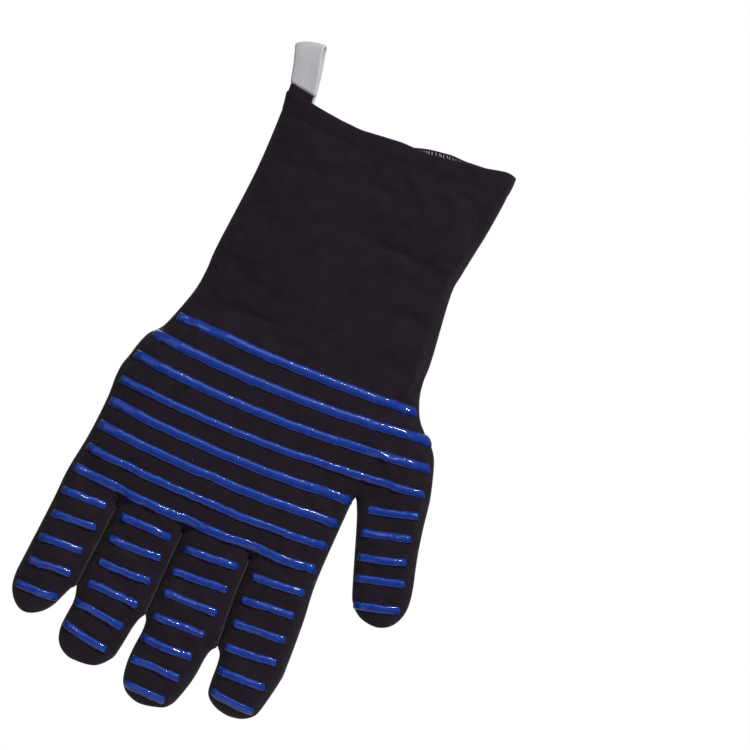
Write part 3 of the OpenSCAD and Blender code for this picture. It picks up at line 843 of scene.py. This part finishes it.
for digit in DIGITS:
    builds = {"_base": Builder(), "_tip": Builder()}
    for k, bar in enumerate(DIGIT_BARS[digit.name]):
        left, right = np.array(bar, float).reshape(2, 2)
        part = "_base" if digit.along((left + right) / 2) < digit.split else "_tip"
        path = bar_path(left, right)
        for side in (-1, 1):
            bead(builds[part], side, path, k + 20 + 9 * len(digit.name), BAR_WIDTH, 0.12, 0.5)
    if digit is THUMB:
        whiskers(builds["_tip"], THUMB_HAIRS)
    for part, build in builds.items():
        beads = build.make(digit.name + part + "_beads")
        follow(beads, digit.name + part)
        stand_for(beads, digit.name + part + "_bars", "blue_silicone")

# ---- hem, tab and hanging loop ----

EDGE_LEFT = np.array([(x, z) for x, z in SIDE[:60] if z > -40])
EDGE_RIGHT = np.array([(x, z) for x, z in SIDE[-60:] if z > -40])


def mouth_point(turn, depth):
    """Surface point and normal at an angle round the mouth: 0 at the thumb's side, 180 at the other."""
    left = np.interp(depth, -EDGE_LEFT[:, 1], EDGE_LEFT[:, 0])
    right = np.interp(depth, -EDGE_RIGHT[::-1, 1], EDGE_RIGHT[::-1, 0])
    x = (left + right) / 2 + (right - left) / 2 * cos(radians(turn))
    side = 1 if turn % 360 < 180 else -1
    return FACE[side].at(x, -depth)


# Section of the folded hem: height out of the cloth's face, and depth below the mouth
HEM_SECTION = [
    (0.0, 9.5), (0.13, 9.3), (0.26, 8.7), (0.4, 7.5), (0.62, 5.0), (0.75, 2.5), (0.75, 0.4),
    (0.45, -0.55), (-0.6, -1.15), (-1.9, -1.2), (-3.1, -0.7), (-3.75, 0.4), (-3.8, 2.5), (-3.75, 5.0),
    (-3.6, 8.2), (-3.25, 8.4), (-3.1, 8.0), (-3.1, 4.0), (-3.0, 0.7), (-2.0, 0.1), (-0.5, 0.05),
    (0.02, 0.7), (0.02, 4.0)
]
HEM_STEPS = 150


def shape_hem(build):
    rings = []
    for turn in np.degrees(np.arange(0, 2 * pi, 2 * pi / HEM_STEPS)):
        ring = []
        angle = radians(turn)
        ripple = noise.noise(Vector((cos(angle) * 9, sin(angle) * 2, 5.0)))
        for out, depth in HEM_SECTION:
            spot, normal = mouth_point(turn, max(depth, 0.0))
            spot = spot + normal * (out * (1 + 0.12 * ripple)) + np.array((0, 0, max(-depth, 0)))
            ring.append((spot, (spot[0], -depth if out > -1.8 else depth)))
        rings.append(ring[::-1])
    build.sweep(rings, closed=True)


def shape_stitches(build):
    """Stitches along the hem's lower edge, stopping short of the tab."""
    for side in (-1, 1):
        for x in np.arange(-63, 63.5, 3.6):
            if side < 0 and x < -47:
                continue
            path = []
            for t in np.linspace(0, 1, 6):
                spot, normal = FACE[side].at(x + 2.3 * t, -7.0 + 0.12 * sin(x))
                path.append(spot + normal * (0.36 + 0.26 * sin(pi * t)))
            build.thread(path, 0.21, 6)


def shape_overlock(build):
    """Slanting thread over the hem's raw edge, inside the mouth."""
    for side in (-1, 1):
        for x in np.arange(-54, 56, 1.7):
            spot, normal = FACE[side].at(x, 0)
            loose = 0.5 + 0.5 * noise.noise(Vector((x * 0.17, side, 1.0)))
            lean = RNG.uniform(-0.5, 0.5)
            fall = RNG.uniform(1.2, 2.6)
            path = []
            for t in np.linspace(0, 1, 5):
                drop = np.array((lean + 0.9 * t, 0, 0.6 * loose - 0.4 - fall * t))
                path.append(spot + normal * (-3.8 - 0.4 * sin(pi * t)) + drop)
            build.thread(path, 0.19, 5)


LOOP_AT = joint_mm("loop_flop")
LOOP_AXIS = np.array(JOINTS["loop_flop"]["axis"], float)
LOOP_AXIS /= np.linalg.norm(LOOP_AXIS)
LOOP_BACK = np.cross((0, 0, 1), LOOP_AXIS)
LOOP_BACK /= np.linalg.norm(LOOP_BACK)
LOOP_UP = np.cross(LOOP_AXIS, LOOP_BACK)


def on_loop(across, through, up):
    """A point given in the tape's own directions from its bending line."""
    return LOOP_AT + LOOP_AXIS * across + LOOP_BACK * through + LOOP_UP * up


# Sections of the tab: height from the bending line, and fatness there
TAB_SECTIONS = [(-9.3, 0.5), (-8.8, 0.85), (-6.5, 1.0), (-4, 1.02), (-2.2, 1.0), (-1.3, 0.86), (-0.9, 0.55),
                (-0.75, 0.15)]
TAB_SIDES = 32


def shape_tab(build):
    """A soft folded pad of knit, sewn through the hem."""
    rings = []
    for up, fat in TAB_SECTIONS:
        ring = []
        for k in range(TAB_SIDES):
            a = 2 * pi * k / TAB_SIDES
            c, t = cos(a), sin(a)
            x = copysign(abs(c) ** 0.3, c) * 8.1 * (0.92 + 0.08 * fat)
            y = copysign(abs(t) ** 0.6, t) * 1.65 * fat
            wobble = noise.noise(Vector((x * 0.25, up * 0.3, 7.7)))
            crown = (0.5 * exp(-((x + 5.6) / 2.2) ** 2) - 0.6 * ease((x - 4) / 4)) * ease((up + 5) / 3.5)
            spot = on_loop(x - 0.16 * up + wobble * 0.4, y + wobble * 0.3, up + crown * 0.8)
            ring.append((spot, (x, up)))
        rings.append(ring)
    build.sweep(rings)


TAPE_T = 1.1
RISE = 21.8  # height of the middle of the tape's bight
BIGHT = 2.1  # its radius
COLUMNS = np.linspace(-1, 1, 21)
ROLL_SIDES = 14


def tape_wall(build):
    """One doubled length of webbing: a bight whose legs come together in the tab."""
    leg = [(0.65 + 1.45 * float(ease(t)), RISE * t - 1 + t) for t in np.linspace(0, 1, 14)]
    turns = np.radians(np.linspace(0, 180, 15))[1:-1]
    over = [(BIGHT * cos(a), RISE + BIGHT * sin(a)) for a in turns]
    centre = np.array([(-c, u) for c, u in leg + over] + leg[::-1])
    run = np.gradient(centre, axis=0)
    run /= np.hypot(*run.T)[:, None]
    out_of = np.column_stack([-run[:, 1], run[:, 0]])
    travel = np.r_[0, np.cumsum(np.hypot(*np.diff(centre, axis=0).T))]
    rings = []
    for c, n, at in zip(centre, out_of, travel):
        share = max(0, c[1]) / (RISE + BIGHT)
        soft = min(1, share * 2)
        ring = []
        for sign in (1, -1):
            for col in COLUMNS[::sign]:
                skin = n * sign * TAPE_T / 2 * (1 - 0.5 * max(0, abs(col) - 0.9) / 0.1)
                bend = 0.7 * noise.noise(Vector((col * 0.8, share * 1.3, 3.3 + 2 * (c[0] > 0)))) * soft
                up = (c[1] + skin[1]) * (1 + (0.14 * col - 0.045 * col * col) * share)
                left = -7.5 - 0.483 * up - 1.1 * (1 - float(ease(up / 10)))
                right = 9.0 - 0.3 * up - 2.0 * float(ease((up - 8) / 16))
                slide = 0.5 * noise.noise(Vector((share * 2.1, 9.1, 0.4 + (col > 0)))) * soft
                across = (left + right) / 2 + col * (right - left) / 2 + slide
                ring.append((on_loop(across, c[0] + skin[0] + bend, up), (col * 8.6, at)))
        rings.append(ring)
    build.sweep(rings)


def tape_roll(build):
    """The sewn end that turns in the tab."""
    rings = []
    turns = [2 * pi * k / ROLL_SIDES for k in range(ROLL_SIDES)]
    for across in np.linspace(-8.5, 8.9, 14):
        size = 1.15 if abs(across) < 8.3 else 0.95
        ring = [(on_loop(across, size * cos(a), size * sin(a)), (across, 3 * sin(a)))
                for a in turns]
        rings.append(ring)
    build.sweep(rings)


def shape_tape(build):
    tape_wall(build)
    tape_roll(build)


TAIL_SECTION = ((6.4, 1.3), (8.3, 1.35), (9.1, 1.2), (9.25, 0.75), (9.1, 0.25), (8.3, 0.1), (6.4, 0.2))


def shape_tail(build):
    """The sewn-down end of the tape, which shows past the thumb side of the tab."""
    rings = []
    for up in np.linspace(-0.4, -6.5, 8):
        spread = -0.2 * (up + 0.4) / 2.8
        rings.append([(on_loop(x + spread * (x - 6.4), y, up), (x, up)) for x, y in TAIL_SECTION])
    build.sweep(rings)


for shape, *names in [
        (shape_hem, "cuff_hem_band", "cuff", "cuff_hem", "black_hem_knit"),
        (shape_stitches, "hem_stitch_thread", "cuff", "hem_stitching", "dark_thread"),
        (shape_overlock, "hem_overlock_thread", "cuff", "hem_overlock", "cotton_thread"),
        (shape_tab, "loop_tab_pad", "cuff", "loop_tab", "black_hem_knit"),
        (shape_tape, "hanging_loop_tape", "loop", "hanging_loop", "grey_tape"),
        (shape_tail, "loop_tape_tail", "cuff", "loop_tab", "grey_tape")]:
    build = Builder()
    shape(build)
    rigid_piece(build, *names)

# ---- materials ----


class Shader:
    """Small helper that builds a node material."""

    def __init__(self, name):
        self.material = bpy.data.materials.new(name)
        self.material.use_nodes = True
        self.tree = self.material.node_tree
        self.bsdf = self.tree.nodes["Principled BSDF"]

    def node(self, kind):
        return self.tree.nodes.new("ShaderNode" + kind)

    def put(self, socket, value):
        """Sets a socket from a number, a colour or another node's socket."""
        if isinstance(value, bpy.types.NodeSocket):
            self.tree.links.new(value, socket)
        elif isinstance(value, tuple):
            socket.default_value = (*value, 1)
        else:
            socket.default_value = value

    def math(self, operation, *values):
        n = self.node("Math")
        n.operation = operation
        for socket, value in zip(n.inputs, values):
            self.put(socket, value)
        return n.outputs[0]

    def plus(self, a, b):
        return self.math("ADD", a, b)

    def times(self, a, b):
        return self.math("MULTIPLY", a, b)

    def cloth_axes(self):
        """The cloth coordinates as one vector in centimetres, and across and along in millimetres."""
        uv = self.node("UVMap")
        uv.uv_map = "cloth"
        split = self.node("SeparateXYZ")
        self.put(split.inputs[0], uv.outputs[0])
        across, along = (self.times(split.outputs[k], 10.0) for k in (0, 1))
        return uv.outputs[0], across, along

    def noise(self, scale, detail, vector=None):
        n = self.node("TexNoise")
        n.inputs["Scale"].default_value = scale
        n.inputs["Detail"].default_value = detail
        n.inputs["Roughness"].default_value = 0.55
        if vector is not None:
            self.put(n.inputs["Vector"], vector)
        return n.outputs["Fac"]

    def ramp(self, value, low, high, a=0.0, b=1.0):
        """Maps low to high onto a to b."""
        n = self.node("MapRange")
        for socket, number in zip(n.inputs, (value, low, high, a, b)):
            self.put(socket, number)
        return n.outputs[0]

    def mix(self, factor, a, b, blend="MIX"):
        """A blend of two colours."""
        n = self.node("Mix")
        n.data_type = "RGBA"
        n.blend_type = blend
        for k, value in zip((0, 6, 7), (factor, a, b)):
            self.put(n.inputs[k], value)
        return n.outputs[2]

    def bump(self, height, strength, distance, under=None):
        n = self.node("Bump")
        n.inputs["Strength"].default_value = strength
        n.inputs["Distance"].default_value = distance
        self.put(n.inputs["Height"], height)
        if under is not None:
            self.put(n.inputs["Normal"], under)
        return n.outputs[0]

    def finish(self, colour, roughness, normal=None, **extra):
        """Fills the surface shader's inputs and returns the material."""
        self.put(self.bsdf.inputs["Base Color"], colour)
        self.put(self.bsdf.inputs["Roughness"], roughness)
        if normal is not None:
            self.put(self.bsdf.inputs["Normal"], normal)
        for key, value in extra.items():
            self.bsdf.inputs[key.replace("_", " ")].default_value = value
        return self.material


def knit_material(name, dark, light, rib, row, fleck=0.0, depth=0.35, sheen=0.12):
    """Ribbed knit: columns of small V stitches along the cloth, with pile and, where fleck is set, lint."""
    s = Shader(name)
    uv, u, v = s.cloth_axes()
    drift = s.times(s.math("SUBTRACT", s.noise(0.9, 2, uv), 0.5), 0.9)
    column = s.math("DIVIDE", s.plus(u, drift), rib)
    inside_rib = s.math("ABSOLUTE", s.math("SUBTRACT", s.math("FRACT", column), 0.5))
    ridge = s.math("COSINE", s.times(inside_rib, 2 * pi))
    course = s.plus(s.math("DIVIDE", v, row), s.times(inside_rib, 1.6))
    stitch = s.math("SINE", s.times(course, 2 * pi))
    height = s.plus(s.times(ridge, -0.5), s.times(stitch, 0.22))
    height = s.plus(height, s.times(s.noise(70, 3, uv), 0.5))
    patches = s.ramp(s.noise(1.1, 4, uv), 0.32, 0.7)
    grain = s.ramp(height, -0.5, 0.9)
    tone = s.plus(s.times(grain, 0.62), s.times(patches, 0.38))
    colour = s.mix(tone, dark, light)
    if fleck:
        tint = s.mix(s.ramp(s.noise(2.4, 2, uv), 0.35, 0.65), (0.95, 0.99, 1.1), (1.08, 0.95, 1.0))
        colour = s.mix(1.0, colour, tint, "MULTIPLY")
        cells = s.node("TexVoronoi")
        cells.inputs["Scale"].default_value = 5.5
        s.put(cells.inputs["Vector"], uv)
        near = s.math("LESS_THAN", cells.outputs["Distance"], 0.035)
        chosen = s.node("SeparateColor")
        s.put(chosen.inputs[0], cells.outputs["Color"])
        some = s.math("GREATER_THAN", chosen.outputs[0], 0.72)
        brightness = s.times(chosen.outputs[1], fleck)
        lint = s.times(s.times(near, some), brightness)
        colour = s.mix(lint, colour, (0.42, 0.42, 0.46))
    normal = s.bump(height, depth, 0.0005)
    return s.finish(colour, 0.92, normal, Sheen_Weight=sheen, Sheen_Roughness=0.45, Specular_IOR_Level=0.18)


def silicone_material():
    """Poured silicone: wet-looking skin, uneven thickness, and painted shade: each bar darker towards its
    lower edge and lighter towards its top.
    """
    s = Shader("blue_silicone_poured")
    uv, across, _ = s.cloth_axes()
    # Painted shade: the colour darkens across each bar towards its lower edge, as if lit from above, and
    # lightens towards its top.
    painted_low_edge_shade = s.ramp(across, -2.5, 0.6)
    streak = s.noise(2.2, 3, uv)
    cloud = s.noise(60, 3, uv)
    streaks = s.ramp(streak, 0.3, 0.7)
    shade = s.plus(s.times(painted_low_edge_shade, 0.62), s.times(streaks, 0.38))
    shade = s.times(shade, s.ramp(cloud, 0.2, 0.8, 0.75, 1.1))
    colour = s.mix(shade, (0.0025, 0.0085, 0.135), (0.006, 0.056, 0.405))
    dents = s.bump(s.noise(9, 2, uv), 0.6, 0.0007)
    normal = s.bump(s.noise(38, 3, uv), 0.3, 0.00025, dents)
    roughness = s.ramp(s.noise(6, 2, uv), 0.3, 0.7, 0.3, 0.5)
    return s.finish(colour, roughness, normal, Coat_Weight=0.9, Coat_Roughness=0.08, Specular_IOR_Level=0.1)


def tape_material():
    """Flat woven webbing, with a rib across every millimetre and a painted highlight that lightens the
    selvedge along both edges.
    """
    s = Shader("grey_webbing")
    uv, u, v = s.cloth_axes()
    warp = s.math("SINE", s.times(u, 2 * pi / 0.8))
    weft = s.math("SINE", s.times(v, 2 * pi / 0.9))
    weave = s.times(warp, weft)
    # Painted highlight: the colour lightens towards both edges of the tape.
    edge = s.ramp(s.math("ABSOLUTE", u), 7.0, 7.7)
    height = s.plus(weave, s.times(s.noise(60, 3, uv), 0.6))
    tone = s.plus(s.ramp(height, -0.8, 1.4), s.times(edge, 0.12))
    colour = s.mix(tone, (0.52, 0.53, 0.56), (0.7, 0.71, 0.74))
    return s.finish(colour, 0.82, s.bump(height, 0.3, 0.0003), Sheen_Weight=0.1, Specular_IOR_Level=0.25)


def thread_material(name, dark, light, roughness):
    """Twisted thread."""
    s = Shader(name)
    uv, u, v = s.cloth_axes()
    twist = s.math("SINE", s.times(s.plus(u, s.times(v, 2.5)), 14.0))
    height = s.plus(twist, s.noise(50, 3, uv))
    return s.finish(s.mix(s.ramp(height, -1, 2), dark, light), roughness, s.bump(height, 0.3, 0.0002),
                    Specular_IOR_Level=0.2)


FINISH = {
    "black_knit": knit_material("black_rib_knit", (0.0062, 0.0036, 0.0067), (0.0222, 0.0132, 0.0237),
                                1.25, 1.0, 0.9),
    "black_hem_knit": knit_material("black_hem_rib", (0.006, 0.0035, 0.0065), (0.0215, 0.0128, 0.0228),
                                    1.1, 0.9, 0.5),
    "cotton_lining": knit_material("cotton_jersey", (0.5, 0.47, 0.41), (0.78, 0.75, 0.68),
                                   1.0, 0.8, 0.0, 0.3, 0.2),
    "blue_silicone": silicone_material(),
    "grey_tape": tape_material(),
    "cotton_thread": thread_material("white_thread", (0.6, 0.58, 0.52), (0.85, 0.83, 0.78), 0.75),
    "dark_thread": thread_material("dark_thread", (0.008, 0.006, 0.009), (0.024, 0.019, 0.026), 0.7),
}
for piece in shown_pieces():
    finish = FINISH.get(piece.get("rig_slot"))
    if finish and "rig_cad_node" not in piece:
        piece.data.materials.clear()
        piece.data.materials.append(finish)

# ---- studio ----


def disc(name, radius, z):
    angles = [radians(a) for a in range(0, 360, 6)]
    points = [(0, 0, z)] + [(radius * cos(a), radius * sin(a), z) for a in angles]
    n = len(angles)
    return mesh_object(name, points, [(0, 1 + i, 1 + (i + 1) % n) for i in range(n)])


floor = disc("studio_floor", 290, -460)
paint = Shader("pale_floor")
pale = paint.mix(paint.noise(4, 2), (0.88, 0.88, 0.88), (0.93, 0.93, 0.93))
floor.data.materials.append(paint.finish(pale, 0.85))


CENTRE = (0.0, 0.0, -0.17)


def lamp(name, place, size, power):
    """An area light that faces the glove."""
    data = bpy.data.lights.new(name, "AREA")
    data.shape = "RECTANGLE"
    data.size, data.size_y = size
    data.energy = power
    obj = add_object(name, data)
    obj.location = place
    obj.rotation_euler = (Vector(CENTRE) - Vector(place)).to_track_quat("-Z", "Y").to_euler()


lamp("key_light", (0.71, -1.25, 0.93), (0.42, 0.1), 20)
lamp("glint_light", (0.12, -1.45, 1.0), (0.1, 0.07), 2.5)
lamp("front_light", (-0.25, -1.7, 0.9), (1.3, 0.9), 6)
lamp("fill_light", (-1.2, -1.0, 0.1), (1.0, 1.2), 2)
lamp("back_light", (-0.3, 1.2, 0.5), (1.0, 0.8), 5)


def light_world():
    """A faint even glow on the glove, and white behind it."""
    world = bpy.data.worlds.new("pale_studio")
    world.use_nodes = True
    nodes, links = world.node_tree.nodes, world.node_tree.links
    glow = nodes["Background"]
    glow.inputs[0].default_value = (1, 1, 1, 1)
    glow.inputs[1].default_value = 0.14
    backdrop = nodes.new("ShaderNodeBackground")
    backdrop.inputs[0].default_value = (1, 1, 1, 1)
    seen = nodes.new("ShaderNodeLightPath")
    choose = nodes.new("ShaderNodeMixShader")
    links.new(seen.outputs["Is Camera Ray"], choose.inputs[0])
    links.new(glow.outputs[0], choose.inputs[1])
    links.new(backdrop.outputs[0], choose.inputs[2])
    links.new(choose.outputs[0], nodes["World Output"].inputs[0])
    bpy.context.scene.world = world
    bpy.context.scene.view_settings.view_transform = "Standard"


light_world()

ROLL = radians(22)  # the glove hangs this far off upright
camera = add_object("photo_camera", bpy.data.cameras.new("photo_camera"))
camera.data.lens = 200
camera.data.sensor_width = 36
turn = Matrix(((cos(ROLL), -sin(ROLL), 0), (0, 0, -1), (sin(ROLL), cos(ROLL), 0)))
camera.matrix_world = Matrix.Translation((0.036, -2.333, -0.1265)) @ turn.to_4x4()
bpy.context.scene.camera = camera
